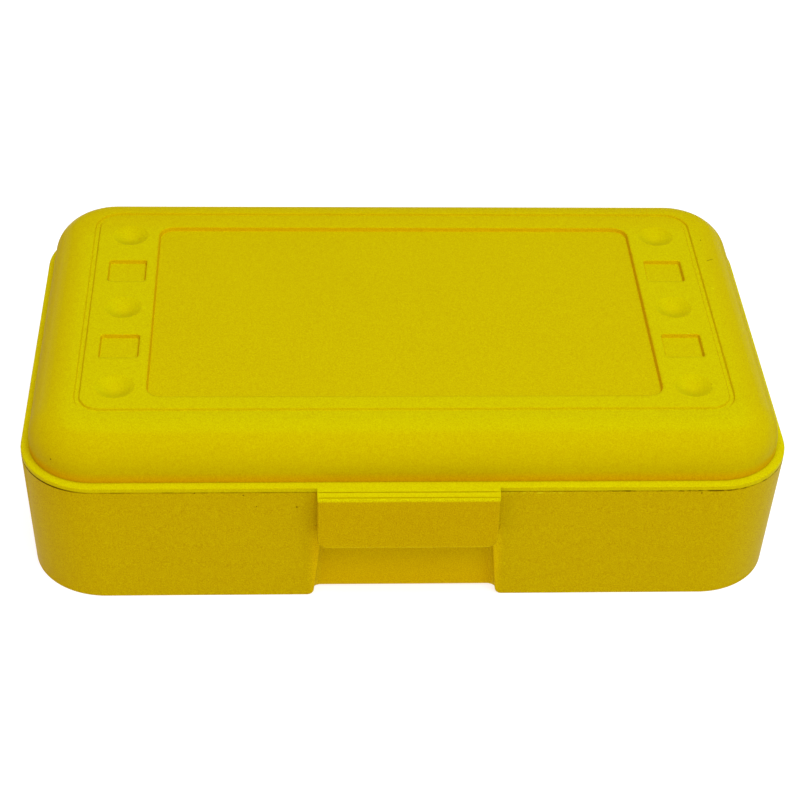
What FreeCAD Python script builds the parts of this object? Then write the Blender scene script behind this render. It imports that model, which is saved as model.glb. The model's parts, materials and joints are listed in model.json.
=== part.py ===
import FreeCAD, Part
import math
import os

from FreeCAD import Vector

# A hinged plastic pencil case: a tub-shaped tray, a domed lid that turns on two snap hinges
# at the back, and a front latch that is moulded with the lid and folds on a thin web.
# Millimetres. +X is the case's right, +Y its back and +Z up. The origin is the centre of the underside.

# ---- Tray ----
body_width = 216.0
body_depth = 134.0
rim_height = 39.14
rim_corner_radius = 21.3
foot_corner_radius = 21.6
wall_lean = 1.6
tray_wall = 1.6
tray_floor = 1.8
floor_round = 3.0
foot_round = 0.4
rim_round = 0.3

# ---- Lid ----
flange_thickness = 1.46
ledge_width = 2.42
dome_height = 14.05
dome_straight = 3.15
lid_wall = 1.5
flange_round = 0.3
lip_clearance = 0.4
lip_thickness = 1.2
lip_depth = 2.7

# ---- Groove round the lid's top, with the sunk panel, dimples and squares inside it ----
groove_line_width = 1.8
groove_line_depth = 0.6
groove_line_slope = 0.4
groove_line_radius = 7.0
groove_margin_side = 2.78
groove_margin_front = 3.68
groove_margin_back = 1.75
panel_depth = 1.1
panel_slope = 0.5
panel_corner_radius = 4.6
panel_land_end = 19.1
panel_land_front = 6.42
panel_land_back = 7.48
mark_offset = 8.7
mark_end_gap = 4.7
dimple_radius = 5.5
dimple_depth = 1.3
square_side = 11.4
square_depth = 1.1
square_slope = 0.4
square_corner_radius = 1.0
pad_margin = 1.0
top_edge_round = 0.25

# ---- Latch and the recess behind it ----
latch_width = 50.4
latch_drop = 18.9
latch_reach = 1.0
bend_radius = 2.5
first_groove_angle = 18.7
second_groove_angle = 57.0
groove_width = 0.5
web_thickness = 0.5
flap_corner_radius = 3.2
flap_edge_round = 0.4
bead_height = 1.8
bead_depth = 1.0
bead_overhang = 0.6
bead_drop = 12.6
catch_gap = 0.34
catch_height = 1.8
catch_width = 44.0
catch_rise = 0.1
catch_foot_chamfer = 0.2
recess_depth = 4.9
recess_spread = 1.8
recess_narrowing = 5.7
recess_top_band = 9.8
recess_corner_radius = 2.0

# ---- Snap hinges at the back ----
hinge_spacing = 110.0
rod_radius = 1.25
rod_clearance = 0.05
clip_wall = 1.0
clip_width = 16.0
clip_mouth_angle = 100.0
clip_wall_gap = 0.35
clip_side_gap = 0.4
lug_thickness = 2.5
gusset_drop = 6.0

# ---- Places worked out from those sizes ----
rim_half_x = body_width / 2
rim_half_y = body_depth / 2
flange_top = rim_height + flange_thickness
dome_top = flange_top + dome_height
dome_round = dome_height - dome_straight
ceiling_z = dome_top - lid_wall
front_y = -rim_half_y
back_y = rim_half_y
latch_half = latch_width / 2
overshoot = 1.0


def box_between(low, high):
    """Box from its lowest to its highest corner."""
    size = high - low
    return Part.makeBox(size.x, size.y, size.z, low)


def rounded_rectangle(half_x, half_y, radius, z, centre_y=0.0):
    """Closed wire of four quarter arcs joined by four straight edges, at height z."""
    arcs = []
    for index, (side_x, side_y) in enumerate([(1, 1), (-1, 1), (-1, -1), (1, -1)]):
        centre = Vector(side_x * (half_x - radius), centre_y + side_y * (half_y - radius), z)
        circle = Part.Circle(centre, Vector(0, 0, 1), radius)
        start = math.radians(90 * index)
        arcs.append(Part.Arc(circle, start, start + math.pi / 2))
    edges = []
    for index, arc in enumerate(arcs):
        following = arcs[(index + 1) % 4]
        edges.append(arc.toShape())
        edges.append(Part.LineSegment(arc.EndPoint, following.StartPoint).toShape())
    return Part.Wire(edges)


def tapered_block(lower, upper):
    """Solid between two outlines of the same kind, with straight sides."""
    return Part.makeLoft([lower, upper], True, True)


def edges_at_height(solid, z):
    """Edges that lie wholly in the plane at height z."""
    flat = []
    for edge in solid.Edges:
        box = edge.BoundBox
        if abs(box.ZMin - z) < 1e-4 and abs(box.ZMax - z) < 1e-4:
            flat.append(edge)
    return flat


def across_latch(edges, half_width):
    """Closed profile in the YZ plane, carried across the front of the case about its middle."""
    face = Part.Face(Part.Wire(edges))
    face.translate(Vector(-half_width, 0, 0))
    return face.extrude(Vector(2 * half_width, 0, 0))


def polygon_edges(points):
    """Straight edges round a closed list of (y, z) points."""
    corners = [Vector(0, y, z) for y, z in points]
    pairs = zip(corners, corners[1:] + corners[:1])
    return [Part.LineSegment(start, end).toShape() for start, end in pairs]


# ---------------------------------------------------------------- tray

def tray_outline(z, inset):
    """Tray's outline at height z, moved in by inset: it leans and its corners change evenly."""
    share = z / rim_height
    half_x = rim_half_x - wall_lean * (1 - share) - inset
    half_y = rim_half_y - wall_lean * (1 - share) - inset
    radius = foot_corner_radius + (rim_corner_radius - foot_corner_radius) * share - inset
    return rounded_rectangle(half_x, half_y, radius, z)


def tray_envelope():
    """Whole tub with no hollow."""
    return tapered_block(tray_outline(0, 0), tray_outline(rim_height, 0))


def front_wall_y(z):
    """Outside of the front wall at height z."""
    return front_y + wall_lean * (1 - z / rim_height)


recess_top = rim_height - recess_top_band
recess_back_y = front_y + recess_depth


def recess_block(grow):
    """Space behind the latch, wider at its open foot, grown by a wall all round where asked."""
    foot_half = latch_half + recess_spread / 2 + grow
    top_half = foot_half - recess_narrowing / 2
    y_front = front_y - overshoot
    foot = [Vector(-foot_half, y_front, 0), Vector(foot_half, y_front, 0)]
    head = [Vector(top_half, y_front, recess_top + grow), Vector(-top_half, y_front, recess_top + grow)]
    corners = foot + head
    profile = Part.makePolygon(corners + corners[:1])
    block = Part.Face(profile).extrude(Vector(0, recess_back_y + grow - y_front, 0))
    upright = []
    for edge in block.Edges:
        middle = edge.BoundBox.Center
        at_back = edge.BoundBox.YMin > recess_back_y + grow - 0.01
        if at_back and middle.z > 0.01:
            upright.append(edge)
    return block.makeFillet(recess_corner_radius + grow, upright)


def make_base_tray():
    """Tub with leaning walls, rounded floor edge and the latch recess pressed into its front."""
    shell = tray_envelope().cut(recess_block(0))
    foot_corners = []
    for edge in edges_at_height(shell, 0):
        box = edge.BoundBox
        if box.YMax < recess_back_y and box.XLength < 0.01:
            foot_corners.append(edge)
    shell = shell.makeFillet(recess_corner_radius, foot_corners)
    shell = shell.makeFillet(foot_round, edges_at_height(shell, 0))
    hollow_foot = tray_outline(tray_floor, tray_wall)
    hollow_mouth = tray_outline(rim_height + overshoot, tray_wall)
    hollow = tapered_block(hollow_foot, hollow_mouth)
    hollow = hollow.makeFillet(floor_round, edges_at_height(hollow, tray_floor))
    hollow = hollow.cut(recess_block(tray_wall))
    shell = shell.cut(hollow)
    return shell.makeFillet(rim_round, edges_at_height(shell, rim_height))


bead_z = flange_top - bead_drop
catch_z = recess_top + catch_rise + catch_height / 2
flap_outer_y = front_y - latch_reach - bend_radius
flap_inner_y = flap_outer_y + flange_thickness
bead_tip_y = flap_inner_y + bead_depth


def make_latch_catch():
    """Ridge on the tray's front wall that the latch's bead snaps under, sloped on top to lead it in."""
    tip_y = bead_tip_y + catch_gap
    low = catch_z - catch_height / 2
    high = catch_z + catch_height / 2
    buried_y = front_wall_y(low) + tray_wall / 2
    profile = [
        (buried_y, low),
        (tip_y, low + catch_foot_chamfer),
        (tip_y, catch_z),
        (front_wall_y(high), high),
        (buried_y, high),
    ]
    ridge = across_latch(polygon_edges(profile), catch_width / 2)
    return ridge.cut(tray_envelope())


# ---------------------------------------------------------------- hinges

clip_outer_radius = rod_radius + rod_clearance + clip_wall
hinge_y = back_y + clip_wall_gap + clip_outer_radius
hinge_z = flange_top - clip_outer_radius


def rod_along_x(radius, centre_x, length):
    """Cylinder about the hinge line."""
    start = Vector(centre_x - length / 2, hinge_y, hinge_z)
    return Part.makeCylinder(radius, length, start, Vector(1, 0, 0))


def make_hinge_lug(centre_x):
    """Round ear with a gusset under it, standing on the tray's back wall."""
    start_x = centre_x - lug_thickness / 2
    eye = rod_along_x(clip_outer_radius, centre_x, lug_thickness)
    inside_y = back_y - wall_lean
    outline = [
        Vector(start_x, inside_y, hinge_z),
        Vector(start_x, hinge_y + clip_outer_radius, hinge_z),
        Vector(start_x, inside_y, hinge_z - gusset_drop),
    ]
    gusset = Part.Face(Part.makePolygon(outline + outline[:1])).extrude(Vector(lug_thickness, 0, 0))
    return eye.fuse(gusset).removeSplitter().cut(tray_envelope())


def make_hinge_rod(centre_x):
    """Moulded rod that runs from one ear to the other."""
    return rod_along_x(rod_radius, centre_x, clip_width + 2 * clip_side_gap)


def make_hinge_clip(centre_x):
    """Open ring on the lid's back edge that snaps over the rod, with its mouth facing down."""
    low = Vector(centre_x - clip_width / 2, back_y, rim_height)
    high = Vector(centre_x + clip_width / 2, hinge_y, flange_top)
    ring = rod_along_x(clip_outer_radius, centre_x, clip_width).fuse(box_between(low, high))
    ring = ring.removeSplitter().cut(rod_along_x(rod_radius + rod_clearance, centre_x, clip_width))
    half_mouth = math.radians(clip_mouth_angle / 2)
    reach = 2 * clip_outer_radius
    start_x = centre_x - clip_width / 2
    spread = reach * math.tan(half_mouth)
    outline = [
        Vector(start_x, hinge_y, hinge_z),
        Vector(start_x, hinge_y - spread, hinge_z - reach),
        Vector(start_x, hinge_y + spread, hinge_z - reach),
    ]
    mouth = Part.Face(Part.makePolygon(outline + outline[:1])).extrude(Vector(clip_width, 0, 0))
    return ring.cut(mouth)


# ---------------------------------------------------------------- latch bend

bend_y = front_y - latch_reach
bend_z = flange_top - bend_radius
bend_inner_radius = bend_radius - flange_thickness
groove_half_angle = math.degrees(groove_width / bend_radius) / 2
web_start_angle = first_groove_angle - groove_half_angle
web_end_angle = second_groove_angle + groove_half_angle


def bend_point(radius, angle):
    """Point on the latch's bend, with the angle counted from straight up towards the front."""
    turn = math.radians(angle)
    return Vector(0, bend_y - radius * math.sin(turn), bend_z + radius * math.cos(turn))


def bend_arc(radius, start_angle, end_angle):
    """Arc of the bend between two angles."""
    middle = bend_point(radius, (start_angle + end_angle) / 2)
    return Part.Arc(bend_point(radius, start_angle), middle, bend_point(radius, end_angle)).toShape()


def bend_band(inner_radius, outer_radius, start_angle, end_angle):
    """Piece of the bend between two radii and two angles, as wide as the latch."""
    cut_at_end = Part.LineSegment(bend_point(outer_radius, end_angle), bend_point(inner_radius, end_angle))
    cut_at_start = Part.LineSegment(
        bend_point(inner_radius, start_angle), bend_point(outer_radius, start_angle)
    )
    edges = [
        bend_arc(outer_radius, start_angle, end_angle),
        cut_at_end.toShape(),
        bend_arc(inner_radius, end_angle, start_angle),
        cut_at_start.toShape(),
    ]
    return across_latch(edges, latch_half)


def make_latch_web():
    """Living hinge: a thick middle strip between two grooves that leave only a thin web."""
    web = bend_band(bend_inner_radius, bend_radius, web_start_angle, web_end_angle)
    for centre in (first_groove_angle, second_groove_angle):
        start = centre - groove_half_angle
        end = centre + groove_half_angle
        groove = bend_band(bend_inner_radius + web_thickness, bend_radius + overshoot, start, end)
        web = web.cut(groove)
    return web


def make_latch_flap():
    """Flap that hangs from the web over the front wall, with rounded lower corners and soft edges."""
    foot_z = flange_top - latch_drop
    turned = bend_band(bend_inner_radius, bend_radius, web_end_angle, 90)
    low = Vector(-latch_half, flap_outer_y, foot_z)
    high = Vector(latch_half, flap_inner_y, bend_z)
    flap = turned.fuse(box_between(low, high)).removeSplitter()
    lower_corners = []
    outer_edges = []
    for edge in edges_at_height(flap, foot_z):
        if edge.BoundBox.XLength < 0.01:
            lower_corners.append(edge)
    flap = flap.makeFillet(flap_corner_radius, lower_corners)
    for edge in flap.Edges:
        box = edge.BoundBox
        if box.YMax < flap_outer_y + 0.01 and box.ZMin < bend_z - 0.01:
            outer_edges.append(edge)
    return flap.makeFillet(flap_edge_round, outer_edges)


def make_latch_bead():
    """Bead along the inside of the flap, a little wider than the flap, that snaps under the catch."""
    low = bead_z - bead_height / 2
    high = bead_z + bead_height / 2
    third = bead_height / 3
    profile = [
        (flap_inner_y, low),
        (bead_tip_y, low + third),
        (bead_tip_y, high - third),
        (flap_inner_y, high),
    ]
    return across_latch(polygon_edges(profile), latch_half + bead_overhang)


# ---------------------------------------------------------------- lid

top_half_x = rim_half_x - ledge_width - dome_round
top_half_y = rim_half_y - ledge_width - dome_round
groove_half_x = top_half_x - groove_margin_side
groove_front_y = groove_margin_front - top_half_y
groove_back_y = top_half_y - groove_margin_back
panel_half_x = groove_half_x - panel_land_end
panel_front_y = groove_front_y + panel_land_front
panel_back_y = groove_back_y - panel_land_back


def lid_outline(z, inset):
    """Lid's outline at height z, moved in by inset."""
    return rounded_rectangle(rim_half_x - inset, rim_half_y - inset, rim_corner_radius - inset, z)


def dome_block(inset, round_radius, low, high):
    """Domed block with one large round along its top edge."""
    block = Part.Face(lid_outline(low, inset)).extrude(Vector(0, 0, high - low))
    return block.makeFillet(round_radius, edges_at_height(block, high))


def top_step(half_x, y_low, y_high, radius, top_z, depth, slope):
    """Block from depth below top_z to a little above it. The outline is true at top_z, and the sides
    close in by slope over the depth, or open out where slope is negative."""
    rise = slope * overshoot / depth
    half_y = (y_high - y_low) / 2
    centre_y = (y_high + y_low) / 2
    floor = rounded_rectangle(half_x - slope, half_y - slope, radius - slope, top_z - depth, centre_y)
    mouth = rounded_rectangle(half_x + rise, half_y + rise, radius + rise, top_z + overshoot, centre_y)
    return tapered_block(floor, mouth)


def groove_cutter():
    """Narrow groove with leaning sides that runs round the lid's flat top."""
    half = groove_line_width / 2
    outer = top_step(groove_half_x + half, groove_front_y - half, groove_back_y + half,
                     groove_line_radius + half, dome_top, groove_line_depth, groove_line_slope)
    inner = top_step(groove_half_x - half, groove_front_y + half, groove_back_y - half,
                     groove_line_radius - half, dome_top, groove_line_depth, -groove_line_slope)
    return outer.cut(inner)


def panel_block(margin, top_z):
    """Sunk panel, grown by margin all round."""
    return top_step(panel_half_x + margin, panel_front_y - margin, panel_back_y + margin,
                    panel_corner_radius + margin, top_z, panel_depth, panel_slope)


def square_block(x, y, margin, top_z):
    """Sunk square, grown by margin all round."""
    half = square_side / 2 + margin
    radius = square_corner_radius + margin
    block = top_step(half, y - half, y + half, radius, top_z, square_depth, square_slope)
    block.translate(Vector(x, 0, 0))
    return block


def dimple_ball(x, y, wall):
    """Ball whose lower cap is a dimple of the stated radius and depth, made larger by a wall."""
    ball_radius = (dimple_radius ** 2 + dimple_depth ** 2) / (2 * dimple_depth)
    return Part.makeSphere(ball_radius + wall, Vector(x, y, dome_top - dimple_depth + ball_radius))


def sunk_marks(margin, wall):
    """Panel, and the column of three dimples and two squares at each of its ends. A margin and a wall
    give the larger shapes that stand on the lid's inside, where the wall follows the marks down."""
    top_z = dome_top - wall
    marks = [panel_block(margin, top_z)]
    centre_y = (panel_front_y + panel_back_y) / 2
    pitch = ((panel_back_y - panel_front_y) / 2 - mark_end_gap) / 2
    for side in (-1, 1):
        x = side * (panel_half_x + mark_offset)
        for step in (-2, 0, 2):
            marks.append(dimple_ball(x, centre_y + step * pitch, wall))
        for step in (-1, 1):
            marks.append(square_block(x, centre_y + step * pitch, margin, top_z))
    return marks


def mark_edges(lid):
    """Edges of the marks in the lid's flat top, without that top's own outline."""
    edges = []
    for edge in edges_at_height(lid, dome_top):
        box = edge.BoundBox
        inside_x = max(-box.XMin, box.XMax) < top_half_x - 0.01
        inside_y = max(-box.YMin, box.YMax) < top_half_y - 0.01
        if inside_x and inside_y:
            edges.append(edge)
    return edges


def make_lid_shell():
    """Flange, dome with its marks and the root of the latch, hollow underneath."""
    flange = Part.Face(lid_outline(rim_height, 0)).extrude(Vector(0, 0, flange_thickness))
    flange = flange.makeFillet(flange_round, edges_at_height(flange, flange_top))
    dome = dome_block(ledge_width, dome_round, rim_height, dome_top)
    root_low = Vector(-latch_half, bend_y, rim_height)
    root_high = Vector(latch_half, front_y + ledge_width / 2, flange_top)
    root = box_between(root_low, root_high)
    root_turn = bend_band(bend_inner_radius, bend_radius, 0, web_start_angle)
    lid = flange.multiFuse([dome, root, root_turn]).removeSplitter()
    lid = lid.cut(sunk_marks(0, 0) + [groove_cutter()])
    lid = lid.makeFillet(top_edge_round, mark_edges(lid))
    hollow_round = dome_round - lid_wall
    hollow = dome_block(ledge_width + lid_wall, hollow_round, rim_height - overshoot, ceiling_z)
    return lid.cut(hollow.cut(sunk_marks(pad_margin, lid_wall)))


def make_locating_lip():
    """Thin ring under the flange that drops inside the tray's walls and lines the lid up."""
    outer_inset = tray_wall + lip_clearance
    low = rim_height - lip_depth
    outer = Part.Face(lid_outline(low, outer_inset)).extrude(Vector(0, 0, lip_depth))
    inner = Part.Face(lid_outline(low, outer_inset + lip_thickness)).extrude(Vector(0, 0, lip_depth))
    return outer.cut(inner)


# ---------------------------------------------------------------- nodes

nodes = {
    "base_tray": make_base_tray(),
    "latch_catch": make_latch_catch(),
    "lid_shell": make_lid_shell(),
    "lid_locating_lip": make_locating_lip(),
    "latch_web": make_latch_web(),
    "latch_flap": make_latch_flap(),
    "latch_bead": make_latch_bead(),
}
lug_offset = clip_width / 2 + clip_side_gap + lug_thickness / 2
for side_name, side in (("left", -1), ("right", 1)):
    hinge_x = side * hinge_spacing / 2
    nodes["hinge_rod_" + side_name] = make_hinge_rod(hinge_x)
    nodes["hinge_clip_" + side_name] = make_hinge_clip(hinge_x)
    nodes["hinge_lug_" + side_name + "_inner"] = make_hinge_lug(hinge_x - side * lug_offset)
    nodes["hinge_lug_" + side_name + "_outer"] = make_hinge_lug(hinge_x + side * lug_offset)

os.makedirs("parts", exist_ok=True)
for name, shape in nodes.items():
    shape.exportStep("parts/" + name + ".step")
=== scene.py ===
import json
import math

import bpy
import numpy as np
from mathutils import Matrix, Vector


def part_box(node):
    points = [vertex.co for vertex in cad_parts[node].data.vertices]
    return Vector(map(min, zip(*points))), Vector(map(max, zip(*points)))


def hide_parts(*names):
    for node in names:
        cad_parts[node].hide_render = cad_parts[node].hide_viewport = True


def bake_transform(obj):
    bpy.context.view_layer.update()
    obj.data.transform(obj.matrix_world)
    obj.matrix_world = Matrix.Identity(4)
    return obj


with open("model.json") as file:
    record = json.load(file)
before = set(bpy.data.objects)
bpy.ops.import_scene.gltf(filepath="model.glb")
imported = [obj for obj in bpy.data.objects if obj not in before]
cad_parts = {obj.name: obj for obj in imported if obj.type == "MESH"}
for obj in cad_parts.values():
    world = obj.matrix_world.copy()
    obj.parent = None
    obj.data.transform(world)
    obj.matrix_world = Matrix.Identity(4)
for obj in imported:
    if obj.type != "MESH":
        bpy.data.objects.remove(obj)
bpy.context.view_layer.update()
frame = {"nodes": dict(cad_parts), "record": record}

MM = 0.001

# ------------------------------------------------------------------ tray
# The tray is one injection moulding in yellow polypropylene, with leaning walls and a recess for
# the fingers under the latch. Its mould was spark-eroded outside and polished inside. Beside the
# latch, pale flecks under the rim are painted highlight of its edge mixed with rubbed wear, and a
# dark line along the rim is painted shade of the gap under the lid mixed with dirt.

RIM_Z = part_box("base_tray")[1][2]
FRONT_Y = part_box("base_tray")[0][1]
# The tray's colour is a little more orange than the lid's: painted shade for its upright walls.
TRAY_COLOUR = (0.46, 0.338, 0.0002)
TRAY_CONTRAST = 1.15
DIRT_AND_SHADE = (0.09, 0.045, 0.0, 1)
DIRT_AND_SHADE_ROUGHNESS = 0.8
RUBBED_AND_HIGHLIGHT = (0.56, 0.5, 0.004, 1)
RECESS_TINT = (1.22, 1.17, 1.0)
GRAIN_DEPTH = 0.03 * MM
GRAIN_SWING = (0.13, 0.22, 0.0)
REFRACTIVE_INDEX = 1.49
SPECULAR_LEVEL = 0.01
SPECULAR_TINT = (1.0, 0.85, 0.0, 1.0)
TRAY_FLOOR = 1.8 * MM
TRAY_SPECKS = (
    ((-30.8, -66.8, 33.7), 0.3),
    ((-58.8, -67.0, 39.0), 0.32),
    ((-45.5, -67.0, 38.1), 0.25),
    ((-41.9, -66.8, 33.9), 0.22),
    ((81.5, -67.0, 38.2), 0.32),
)
POLISHED_ROUGHNESS = 0.38
POLISHED_GRAIN = 0.25
PIN_RADIUS = 3.0 * MM
TRAY_PINS_X = (-84.0, -30.0, 30.0, 84.0)
TRAY_PINS_Y = (-42.0, 42.0)
GATE_RADII = (4.0 * MM, 0.8 * MM)


class Shade:
    """A node socket that takes part in arithmetic: each operator adds one Math node."""

    def __init__(self, tree, socket):
        self.tree = tree
        self.socket = socket

    def node(self, kind, settings=None, output=0, **inputs):
        """Adds a node of the given kind, with its settings first and then its sockets' values or links.
        A socket is named with _ for each space, or by its number after one _."""
        made = self.tree.nodes.new("ShaderNode" + kind)
        for key, value in (settings or {}).items():
            setattr(made, key, value)
        for key, value in inputs.items():
            name = int(key[1:]) if key[0] == "_" else key.replace("_", " ")
            target = made.inputs[name]
            if isinstance(value, Shade):
                self.tree.links.new(value.socket, target)
            else:
                target.default_value = value
        return Shade(self.tree, made.outputs[output])

    def math(self, operation, first, second=0.0):
        return self.node("Math", {"operation": operation}, _0=first, _1=second)

    def __add__(self, other):
        return self.math("ADD", self, other)

    def __sub__(self, other):
        return self.math("SUBTRACT", self, other)

    def __rsub__(self, other):
        return self.math("SUBTRACT", other, self)

    def __mul__(self, other):
        return self.math("MULTIPLY", self, other)

    __radd__ = __add__
    __rmul__ = __mul__

    def larger(self, other):
        return self.math("MAXIMUM", self, other)

    def size(self):
        return self.math("ABSOLUTE", self)

    def ramp(self, low, high):
        """Smooth step from 0 at low to 1 at high. With low above high it falls from 1 to 0."""
        settings = {"interpolation_type": "SMOOTHSTEP"}
        first, last = min(low, high), max(low, high)
        rise = self.node("MapRange", settings, Value=self, From_Min=first, From_Max=last)
        return rise if low < high else 1.0 - rise

    def band(self, low, high, fade):
        """1 between low and high, falling to 0 over the fade on either side."""
        return self.ramp(low - fade, low) * self.ramp(high + fade, high)

    def noise(self, scale, seed, detail=2.0, roughness=0.5):
        """Noise about 0.5 with features of 1 / scale metres, read at this place."""
        settings = {"noise_dimensions": "4D"}
        return self.node("TexNoise", settings, Vector=self, Scale=scale, W=seed, Detail=detail,
                         Roughness=roughness)

    def axis(self, index):
        """One coordinate of a place."""
        return self.node("SeparateXYZ", None, index, Vector=self)

    def distance(self, point):
        """Distance from a place to a fixed point."""
        return self.node("VectorMath", {"operation": "DISTANCE"}, 1, _0=self, _1=point)

    def box_reach(self, centre, half, radius):
        """Distance of a place from the outline of a rectangle with round corners, negative inside."""
        over_x = (self.axis(0) - centre[0]).size() - (half[0] - radius)
        over_y = (self.axis(1) - centre[1]).size() - (half[1] - radius)
        corner = self.node("CombineXYZ", None, 0, X=over_x.larger(0.0), Y=over_y.larger(0.0))
        within = self.math("MINIMUM", over_x.larger(over_y), 0.0)
        return corner.distance((0.0, 0.0, 0.0)) + within - radius

    def mix(self, first, second):
        """First colour where this mask is 0 and second where it is 1."""
        return self.node("Mix", {"data_type": "RGBA"}, 2, _0=self, _6=first, _7=second)


class Plastic:
    """A moulded plastic in the making: its place in metres, and its colour, roughness and height,
    which each mark on the piece changes before join() links them to the shader."""

    def __init__(self, name, colour, seed, contrast=1.0):
        """Spark-eroded grain: very fine noise in tone and height, with a few broader blotches."""
        self.material = bpy.data.materials.new(name)
        self.material.use_nodes = True
        tree = self.material.node_tree
        self.shader = next(node for node in tree.nodes if node.type == "BSDF_PRINCIPLED")
        self.place = Shade(tree, tree.nodes.new("ShaderNodeTexCoord").outputs["Object"])
        grain = self.place.noise(3800.0, seed, 0.0)
        pits = self.place.noise(2300.0, seed + 1, 1.0)
        blotches = self.place.noise(600.0, seed + 2, 1.0)
        clouds = self.place.noise(30.0, seed + 3, 2.0)
        swing = np.array(GRAIN_SWING) * contrast
        dark = tuple(np.array(colour) * (1 - swing)) + (1.0,)
        pale = tuple(np.array(colour) * (1 + swing)) + (1.0,)
        tone = grain * 0.5 + pits * 0.38 + blotches * 0.07 + clouds * 0.05
        self.colour = tone.ramp(0.28, 0.72).mix(dark, pale)
        self.roughness = 0.5 + clouds * 0.08 + pits * 0.08
        self.height = pits + grain * 0.6 + blotches * 0.4
        self.form = None

    def blend(self, mask, colour, roughness=None):
        """Lays a colour, and a roughness if one is given, over the plastic where mask is 1."""
        self.colour = mask.mix(self.colour, colour)
        if roughness is not None:
            self.roughness = self.roughness + mask * (roughness - self.roughness)

    def tint(self, mask, shares):
        """Multiplies the colour's channels where mask is 1, which leaves its grain visible."""
        settings = {"data_type": "RGBA", "blend_type": "MULTIPLY"}
        self.colour = mask.node("Mix", settings, 2, _0=mask, _6=self.colour, _7=shares + (1.0,))

    def smooth(self, mask, roughness, share):
        """Takes all but a share of the grain away where the mould is polished."""
        self.height = self.height * (1.0 - mask * (1.0 - share))
        self.roughness = self.roughness + mask * (roughness - self.roughness)

    def speck(self, point, radius, colour):
        """Small stain or nick about a point, with a ragged edge."""
        ragged = self.place.noise(2500.0, radius * 1e4, 1.0) * radius
        self.blend((self.place.distance(point) + ragged).ramp(radius * 1.6, radius * 0.9), colour)

    def ejector_mark(self, centre, radius, low, high):
        """Fine round witness line of an ejector pin, on a face between two heights."""
        x, y, z = (self.place.axis(index) for index in range(3))
        flat = self.place.node("CombineXYZ", None, 0, X=x, Y=y)
        line = (flat.distance((centre[0], centre[1], 0.0)) - radius).size().ramp(0.22 * MM, 0.05 * MM)
        face = z.band(low, high, 0.1 * MM)
        self.height = self.height - line * face * 3.0

    def join(self):
        """Links the colour, roughness and bump to the shader and gives the material. Its specular level is
        far below that of real polypropylene, to keep the yellow as saturated as it is meant to look."""
        links = self.material.node_tree.links
        bump = self.colour.node("Bump", None, 0, Strength=1.0, Distance=GRAIN_DEPTH, Height=self.height)
        if self.form is not None:
            under = self.place.node("Bump", None, 0, Distance=1.0, Height=self.form)
            links.new(under.socket, bump.socket.node.inputs["Normal"])
        links.new(self.colour.socket, self.shader.inputs["Base Color"])
        links.new(self.roughness.socket, self.shader.inputs["Roughness"])
        links.new(bump.socket, self.shader.inputs["Normal"])
        self.shader.inputs["IOR"].default_value = REFRACTIVE_INDEX
        self.shader.inputs["Specular IOR Level"].default_value = SPECULAR_LEVEL
        self.shader.inputs["Specular Tint"].default_value = SPECULAR_TINT
        return self.material


def dress(nodes, material):
    """Puts one material on some CAD nodes."""
    for node in nodes:
        slots = frame["nodes"][node].data.materials
        slots.clear()
        slots.append(material)


def rim_line(plastic, low, high):
    """Dark line along the parting line, between two heights near the rim: painted shade of the gap
    between lid and tray, mixed with dirt. It is heaviest round the front left corner and speckled
    along the right third of the front."""
    x, y, z = (plastic.place.axis(index) for index in range(3))
    band = z.band(low, high, 0.12 * MM)
    outside = y.ramp(FRONT_Y + 1.4 * MM, FRONT_Y + 0.9 * MM).larger(x.size().ramp(106.7 * MM, 107.2 * MM))
    outside = outside.larger((x.size() - y).ramp(155.0 * MM, 158.0 * MM))
    streaks = plastic.place.noise(260.0, 41.0, 3.0, 0.6).ramp(0.42, 0.62)
    corner = x.ramp(-86.0 * MM, -98.0 * MM)
    right = x.ramp(44.0 * MM, 62.0 * MM) * plastic.place.noise(420.0, 47.0, 3.0, 0.6).ramp(0.44, 0.6)
    heavy = corner.larger(right * 0.8).larger(streaks * 0.3)
    plastic.blend(band * outside * (0.15 + heavy * 0.8), DIRT_AND_SHADE, DIRT_AND_SHADE_ROUGHNESS)


tray = Plastic("tray_plastic", TRAY_COLOUR, 3.0, TRAY_CONTRAST)
# The dark line along the tray's rim is painted shade of the gap under the lid, mixed with dirt.
rim_line(tray, RIM_Z - 0.3 * MM, RIM_Z + 0.1 * MM)
rim_x, rim_y, rim_z = (tray.place.axis(index) for index in range(3))
# Pale flecks just under the rim beside the latch: painted highlight of the rim's edge, mixed with rubbed
# wear.
beside_latch = rim_x.ramp(25.5 * MM, 27.0 * MM) * rim_x.ramp(52.0 * MM, 38.0 * MM)
flecks = tray.place.noise(700.0, 53.0, 2.0, 0.6).ramp(0.48, 0.6)
just_under_rim = rim_z.band(RIM_Z - 0.8 * MM, RIM_Z - 0.5 * MM, 0.2 * MM)
tray.blend(beside_latch * flecks * just_under_rim * rim_y.ramp(-60 * MM, -65 * MM), RUBBED_AND_HIGHLIGHT)
for point, radius in TRAY_SPECKS:
    tray.speck([value * MM for value in point], radius * MM, DIRT_AND_SHADE)
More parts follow.
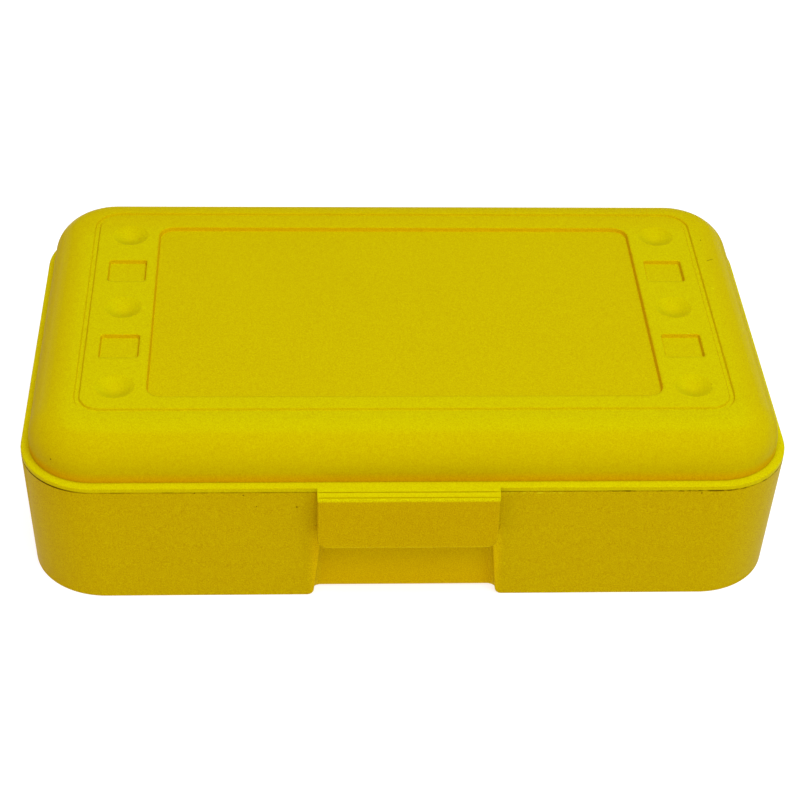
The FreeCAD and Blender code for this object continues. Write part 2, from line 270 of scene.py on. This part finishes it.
# The tint of the recess is no other plastic: it stands in for light that bounces about inside it.
recess = rim_x.size().ramp(28.0 * MM, 25.0 * MM)
recess = recess * rim_y.ramp(-60.0 * MM, -61.0 * MM) * rim_z.ramp(39.3 * MM, 38.3 * MM)
tray.tint(recess, RECESS_TINT)
inside = rim_x.size().ramp(106.0 * MM, 105.5 * MM) * rim_y.size().ramp(65.3 * MM, 65.0 * MM)
inside = inside * rim_z.ramp(TRAY_FLOOR - 0.6 * MM, TRAY_FLOOR - 0.1 * MM)
tray.smooth(inside, POLISHED_ROUGHNESS, POLISHED_GRAIN)
for pin_x in TRAY_PINS_X:
    for pin_y in TRAY_PINS_Y:
        tray.ejector_mark((pin_x * MM, pin_y * MM), PIN_RADIUS, TRAY_FLOOR - 0.2 * MM, TRAY_FLOOR + 0.3 * MM)
for gate_radius in GATE_RADII:
    tray.ejector_mark((0.0, 0.0), gate_radius, -0.3 * MM, 0.2 * MM)
tray_plastic = tray.join()
dress(["base_tray"], tray_plastic)

# ------------------------------------------------------------------ catch, hinge ears and rods
# These are part of the tray's moulding: the ridge that the latch snaps under, and at the back four
# ears that carry two short rods. They come out of the polished inside of the mould.

fittings = Plastic("tray_fittings_plastic", TRAY_COLOUR, 17.0)
fittings.smooth(fittings.place.axis(1).size().ramp(0.0, 60.0 * MM), 0.42, 0.5)
fittings_plastic = fittings.join()
base_nodes = frame["record"]["behaviour"]["bodies"]["base"]
dress([node for node in base_nodes if node != "base_tray"], fittings_plastic)

# ------------------------------------------------------------------ lid
# The lid is the second moulding, a dome on a flat flange with a groove, a panel, dimples and squares
# sunk in its top. Its flange is smoother than the dome, and its top and shoulders have a few nicks.

FLANGE_TOP = RIM_Z + 1.46 * MM
LID_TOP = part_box("lid_shell")[1][2]
LID_CEILING = LID_TOP - 1.5 * MM
MARK_X = 81.5 * MM
MARK_Y = 0.44 * MM
MARK_PITCH = 19.66 * MM
DIMPLE_RADIUS = 5.5 * MM
EXTRA_DENT = 0.8 * MM
SQUARE_HALF = 5.7 * MM
SQUARE_CORNER = 1.0 * MM
SQUARE_SLOPE = 0.4 * MM
PANEL_HALF = (72.8 * MM, 44.0 * MM)
PANEL_CORNER = 4.6 * MM
PANEL_SLOPE = 0.5 * MM
GROOVE_Y = 0.97 * MM
GROOVE_HALF = (91.9 * MM, 50.97 * MM)
GROOVE_CORNER = 7.0 * MM
GROOVE_WIDTH = 1.8 * MM
EDGE_WIDTH = 0.9 * MM
EDGE_SAG = 0.35 * MM
FOOT_TINT = (1.28, 0.99, 1.0)
TOP_TINT = (1.02, 1.1, 1.0)
WALL_TINT = (1.26, 1.04, 1.0)
WALL_FADE = 0.1 * MM
BOWL_TINT = (1.05, 1.07, 1.0)
LID_COLOUR = (0.46, 0.36, 0.0002)
LID_CONTRAST = 0.75
FLANGE_TINT = (1.1, 1.19, 1.0)
FLANGE_ROUGHNESS = 0.45
FLANGE_GRAIN = 0.5
LID_SPECKS = (
    ((95.5, 37.6, 54.6), 0.3, DIRT_AND_SHADE),
    ((-98.0, -60.5, 45.9), 0.28, DIRT_AND_SHADE),
    ((95.1, 10.3, 54.6), 0.4, RUBBED_AND_HIGHLIGHT),
    ((-52.5, -64.6, 40.9), 0.28, RUBBED_AND_HIGHLIGHT),
)
SCRATCH_START = (95.4 * MM, 25.6 * MM)
SCRATCH_WAY = (0.8, 0.6)
LID_PINS_X = (-60.0, 0.0, 60.0)
LID_PINS_Y = (-36.0, 36.0)
CEILING_ROUGHNESS = 0.36

lid = Plastic("lid_plastic", LID_COLOUR, 11.0, LID_CONTRAST)
lid_x, lid_y, lid_z = (lid.place.axis(index) for index in range(3))
flange = lid_z.ramp(FLANGE_TOP + 0.3 * MM, FLANGE_TOP + 0.1 * MM)
# The lid is one colour. Its tints stand in for shading that the soft light alone doesn't give: a paler
# flange and top edge, and a warmer dome foot, sunk walls and dents, where light bounces between faces.
lid.tint(flange, FLANGE_TINT)
lid.smooth(flange, FLANGE_ROUGHNESS, FLANGE_GRAIN)
dome_foot = lid_z.ramp(FLANGE_TOP + 4.0 * MM, FLANGE_TOP + 0.3 * MM) * (1.0 - flange)
lid.tint(dome_foot, FOOT_TINT)
panel_reach = lid.place.box_reach((0.0, MARK_Y), PANEL_HALF, PANEL_CORNER)
open_top = panel_reach.ramp(-0.5 * MM, 1.0 * MM) * lid_z.ramp(52.8 * MM, 54.2 * MM)
open_top = open_top * lid_y.ramp(50.0 * MM, 38.0 * MM) * lid_x.size().ramp(99.0 * MM, 92.0 * MM)
lid.tint(open_top, TOP_TINT)
fold = lid.place.node("CombineXYZ", None, 0, X=lid_x.size(), Y=lid_y)
# The dents, edges and groove are in the solid. This height only strengthens their shading.
walls = 0.0
dents = 0.0
bowls = 0.0
for row in (-2, 0, 2):
    reach = fold.distance((MARK_X, MARK_Y + row * MARK_PITCH, 0.0)) * (1.0 / DIMPLE_RADIUS)
    bowl = (1.0 - reach * reach).larger(0.0)
    dents = bowl * bowl * EXTRA_DENT + dents
    bowls = bowl + bowls
for row in (-1, 1):
    reach = fold.box_reach((MARK_X, MARK_Y + row * MARK_PITCH), (SQUARE_HALF, SQUARE_HALF), SQUARE_CORNER)
    dents = reach.ramp(EDGE_WIDTH, -EDGE_WIDTH) * EDGE_SAG + dents
    walls = reach.band(-SQUARE_SLOPE, 0.0, WALL_FADE) + walls
dents = panel_reach.ramp(EDGE_WIDTH, -EDGE_WIDTH) * EDGE_SAG + dents
walls = panel_reach.band(-PANEL_SLOPE, 0.0, WALL_FADE) + walls
groove_reach = fold.box_reach((0.0, GROOVE_Y), GROOVE_HALF, GROOVE_CORNER).size()
dents = groove_reach.ramp(GROOVE_WIDTH, 0.0) * (0.3 * EDGE_SAG) + dents
walls = groove_reach.band(0.25 * GROOVE_WIDTH, 0.5 * GROOVE_WIDTH, WALL_FADE) * 0.4 + walls
outside = lid_z.ramp(LID_TOP - 1.4 * MM, LID_TOP - 1.3 * MM)
lid.tint(walls * outside, WALL_TINT)
lid.tint(bowls * outside, BOWL_TINT)
lid.form = dents * outside * -1.0
# The dark line along the flange's lower edge is painted shade of the gap over the tray, mixed with dirt.
rim_line(lid, RIM_Z - 0.2 * MM, RIM_Z + 0.14 * MM)
for point, radius, colour in LID_SPECKS:
    lid.speck([value * MM for value in point], radius * MM, colour)
from_x = lid_x - SCRATCH_START[0]
from_y = lid_y - SCRATCH_START[1]
scratch_along = from_x * SCRATCH_WAY[0] + from_y * SCRATCH_WAY[1]
scratch_across = from_x * SCRATCH_WAY[1] - from_y * SCRATCH_WAY[0]
scratch = scratch_across.size().ramp(0.28 * MM, 0.1 * MM) * scratch_along.ramp(0.0, 0.4 * MM)
lid.blend(scratch * scratch_along.ramp(3.4 * MM, 2.6 * MM) * lid_z.ramp(50 * MM, 52 * MM) * 0.5, DIRT_AND_SHADE)
under_lid = lid_z.ramp(LID_CEILING + 0.3 * MM, LID_CEILING) * lid_x.size().ramp(103 * MM, 102 * MM)
under_lid = under_lid * lid_y.size().ramp(62 * MM, 61 * MM)
lid.smooth(under_lid, CEILING_ROUGHNESS, POLISHED_GRAIN)
for pin_x in LID_PINS_X:
    for pin_y in LID_PINS_Y:
        lid.ejector_mark((pin_x * MM, pin_y * MM), PIN_RADIUS, 51.0 * MM, 53.4 * MM)
lid_plastic = lid.join()
dress(frame["record"]["behaviour"]["bodies"]["lid"], lid_plastic)

# ------------------------------------------------------------------ living hinge of the latch
# Where the flange bends down into the latch, two narrow grooves leave a web half a millimetre thick
# that folds. The lid, web and latch are one piece of plastic, and the grooves run out before its ends.

BEND_Y = FRONT_Y - 1.0 * MM
BEND_Z = FLANGE_TOP - 2.5 * MM
BEND_OUTER = 2.5 * MM
BEND_INNER = 1.04 * MM
GROOVE_ANGLES = (18.7, 57.0)
GROOVE_HALF_ANGLE = 5.73
GROOVE_DEPTHS = (0.26 * MM, 0.13 * MM)
WEB_THICK = 0.5 * MM
# The grooves' darker, more orange tint is painted shade in them.
GROOVE_PAINTED_SHADE = (0.8, 0.7, 1.0)
# The web's colour is paler and greener than the lid's: painted light where its bend faces up.
WEB_COLOUR = (0.505, 0.43, 0.0002)
WEB_CONTRAST = 0.6
WEB_ROUGHNESS = 0.4
WEB_GRAIN = 0.4
SHARP_ANGLE = 50
GROOVE_RUN_OUT = 0.7 * MM
LATCH_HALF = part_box("latch_web")[1][0]
ROWS, COLUMNS = 61, 81


def bend_points(angles, radii):
    """Points at radii about the bend's centre line, with angles counted from straight up to the front."""
    turn = np.radians(angles)
    return BEND_Y - radii * np.sin(turn), BEND_Z + radii * np.cos(turn)


def closed_strip(x, top_y, top_z, under_y, under_z):
    """Mesh of a strip from two grids of the same shape, its top and its underside, joined all round
    their edges so that the strip is closed and faces outwards."""
    rows, columns = x.shape
    count = rows * columns
    top = np.stack([x, top_y, top_z], -1).reshape(-1, 3)
    under = np.stack([x, under_y, under_z], -1).reshape(-1, 3)
    index = np.arange(count).reshape(rows, columns)
    a, b, c, d = index[:-1, :-1], index[:-1, 1:], index[1:, 1:], index[1:, :-1]
    top_faces = np.stack([a, d, c, b], -1).reshape(-1, 4)
    under_faces = np.stack([a, b, c, d], -1).reshape(-1, 4) + count
    ring = np.concatenate([index[0, :-1], index[:-1, -1], index[-1, :0:-1], index[:0:-1, 0]])
    following = np.roll(ring, -1)
    side_faces = np.stack([ring, following, following + count, ring + count], -1)
    mesh = bpy.data.meshes.new("latch_living_hinge")
    mesh.from_pydata(np.concatenate([top, under]), [], np.concatenate([top_faces, under_faces, side_faces]))
    mesh.validate()
    mesh.update()
    mesh.polygons.foreach_set("use_smooth", np.ones(len(mesh.polygons), bool))
    mesh.set_sharp_from_angle(angle=math.radians(SHARP_ANGLE))
    return mesh


# Radii at each angle and width: a groove outside and a wider one inside thin the plastic to the web,
# each as a squared cosine over its angle, which a smooth step takes back to nothing at the two ends.
web_start = GROOVE_ANGLES[0] - GROOVE_HALF_ANGLE
web_end = GROOVE_ANGLES[1] + GROOVE_HALF_ANGLE
angles, widths = np.meshgrid(
    np.linspace(web_start, web_end, ROWS), np.linspace(-LATCH_HALF, LATCH_HALF, COLUMNS), indexing="ij"
)
run_out = np.clip((LATCH_HALF - np.abs(widths)) / GROOVE_RUN_OUT, 0, 1)
run_out = run_out * run_out * (3 - 2 * run_out)
groove = np.zeros_like(angles)
sink = np.zeros_like(angles)
rise = np.zeros_like(angles)
for centre, depth in zip(GROOVE_ANGLES, GROOVE_DEPTHS):
    across = np.clip(np.abs(angles - centre) / GROOVE_HALF_ANGLE, 0, 1)
    dip = np.cos(across * math.pi / 2) ** 2 * run_out
    groove += dip
    sink += dip * depth
    rise += dip * (BEND_OUTER - BEND_INNER - depth - WEB_THICK)
outer_y, outer_z = bend_points(angles, BEND_OUTER - sink)
inner_y, inner_z = bend_points(angles, BEND_INNER + rise)
web = bpy.data.objects.new("latch_living_hinge", closed_strip(widths, outer_y, outer_z, inner_y, inner_z))
bpy.context.scene.collection.objects.link(web)
marks = web.data.attributes.new("groove", "FLOAT", "POINT")
marks.data.foreach_set("value", np.concatenate([groove.ravel(), groove.ravel()]).astype(np.float32))
hinge = Plastic("latch_hinge_plastic", WEB_COLOUR, 37.0, WEB_CONTRAST)
groove_mask = hinge.place.node("Attribute", {"attribute_name": "groove"}, 2)
# Painted shade darkens the grooves.
hinge.tint(groove_mask, GROOVE_PAINTED_SHADE)
hinge.smooth(groove_mask, WEB_ROUGHNESS, WEB_GRAIN)
web.data.materials.append(hinge.join())
middle_radius = (BEND_OUTER + BEND_INNER) / 2
start_y, start_z = bend_points(web_start, middle_radius)
end_y, end_z = bend_points(web_end, middle_radius)
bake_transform(web)
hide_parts("latch_web")

# ------------------------------------------------------------------ latch
# The flap hangs from the web and carries a bead inside it that snaps under the tray's catch. It is the
# lid's plastic: its tints stand in for light along the bend and the lower edge, where the grain is worn.

# The flap's colour is darker and more orange than the lid's: painted shade for its upright face.
LATCH_COLOUR = (0.455, 0.315, 0.0002)
EDGE_TINT = (1.12, 1.24, 1.0)
BEND_TINT = (1.17, 1.5, 1.0)
LATCH_CONTRAST = 1.35
WORN_ROUGHNESS = 0.4
WORN_GRAIN = 0.4

latch = Plastic("latch_plastic", LATCH_COLOUR, 29.0, LATCH_CONTRAST)
latch_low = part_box("latch_flap")[0][2]
latch_z = latch.place.axis(2)
worn = latch.place.noise(300.0, 61.0).ramp(0.35, 0.6)
worn = worn * latch_z.ramp(latch_low + 1.6 * MM, latch_low + 0.3 * MM)
latch.smooth(worn, WORN_ROUGHNESS, WORN_GRAIN)
latch.tint(latch_z.ramp(latch_low + 0.9 * MM, latch_low + 0.2 * MM), EDGE_TINT)
latch.tint(latch_z.ramp(38.0 * MM, 38.7 * MM), BEND_TINT)
latch_plastic = latch.join()
dress(frame["record"]["behaviour"]["bodies"]["latch"], latch_plastic)

# ------------------------------------------------------------------ table top
# A plain white light table, large enough to fill the view, that glows a little from below.

TABLE_HALF = 3.0
TABLE_COLOUR = (0.4, 0.4, 0.4, 1)
TABLE_GLOW = 0.75
TABLE_ROUGHNESS = 0.9
TABLE_SPECULAR = 0.1

table_mesh = bpy.data.meshes.new("table_top")
corners = [(x * TABLE_HALF, y * TABLE_HALF, 0) for x, y in ((-1, -1), (1, -1), (1, 1), (-1, 1))]
table_mesh.from_pydata(corners, [], [(0, 1, 2, 3)])
table_material = bpy.data.materials.new("table_top")
table_material.use_nodes = True
table_shader = next(node for node in table_material.node_tree.nodes if node.type == "BSDF_PRINCIPLED")
table_shader.inputs["Base Color"].default_value = TABLE_COLOUR
table_shader.inputs["Emission Color"].default_value = (1, 1, 1, 1)
table_shader.inputs["Emission Strength"].default_value = TABLE_GLOW
table_shader.inputs["Roughness"].default_value = TABLE_ROUGHNESS
table_shader.inputs["Specular IOR Level"].default_value = TABLE_SPECULAR
table_mesh.materials.append(table_material)
table = bpy.data.objects.new("table_top", table_mesh)
bpy.context.scene.collection.objects.link(table)

# ------------------------------------------------------------------ light
# Three large soft boxes, one overhead, one in front and one to the front right, in a softly lit room.
# Their tints add up to white on the table and make upright faces of the case warmer than level ones.

ROOM_COLOUR = (0.566, 0.34, 0.45)
ROOM_STRENGTH = 0.9
AIM = Vector((0, 0, 0.03))
LIGHT_DISTANCE = 1.6
LIGHT_SIZE = 0.9
LIGHT_POWER = 24.0


def soft_box(name, azimuth, elevation, colour):
    """Square light that faces the case. Its azimuth counts from the front towards the right."""
    turn = math.radians(azimuth)
    rise = math.radians(elevation)
    way = Vector((math.sin(turn) * math.cos(rise), -math.cos(turn) * math.cos(rise), math.sin(rise)))
    light = bpy.data.lights.new(name, "AREA")
    light.size = LIGHT_SIZE
    light.energy = LIGHT_POWER * max(colour)
    light.color = [channel / max(colour) for channel in colour]
    lamp = bpy.data.objects.new(name, light)
    lamp.location = AIM + way * LIGHT_DISTANCE
    lamp.rotation_euler = way.to_track_quat("Z", "Y").to_euler()
    bpy.context.scene.collection.objects.link(lamp)


soft_box("overhead_box", 0, 85, (0.378, 0.63, 0.5))
soft_box("front_box", 0, 62, (0.397, 0.238, 0.32))
soft_box("right_box", 45, 55, (0.276, 0.459, 0.37))
room = bpy.data.worlds.new("room")
room.use_nodes = True
room.node_tree.nodes["Background"].inputs["Color"].default_value = ROOM_COLOUR + (1,)
room.node_tree.nodes["Background"].inputs["Strength"].default_value = ROOM_STRENGTH
bpy.context.scene.world = room
bpy.context.scene.view_settings.view_transform = "Standard"

# ------------------------------------------------------------------ camera
# The camera looks down on the case's front from a little to its left, with its horizon slightly tilted.

CAMERA_TARGET = Vector((0.4, -8.49, 27.0)) * MM
CAMERA_DISTANCE = 645.97 * MM
CAMERA_ELEVATION = 36.67
CAMERA_AZIMUTH = 3.66
CAMERA_ROLL = 2.057
LENS = 96.76

turn = math.radians(CAMERA_AZIMUTH)
rise = math.radians(CAMERA_ELEVATION)
away = Vector((-math.sin(turn) * math.cos(rise), -math.cos(turn) * math.cos(rise), math.sin(rise)))
camera_data = bpy.data.cameras.new("camera")
camera_data.lens = LENS
camera_data.sensor_width = 36.0
camera = bpy.data.objects.new("camera", camera_data)
facing = away.to_track_quat("Z", "Y").to_matrix().to_4x4()
roll = Matrix.Rotation(math.radians(CAMERA_ROLL), 4, "Z")
camera.matrix_world = Matrix.Translation(CAMERA_TARGET + away * CAMERA_DISTANCE) @ facing @ roll
bpy.context.scene.collection.objects.link(camera)
bpy.context.scene.camera = camera
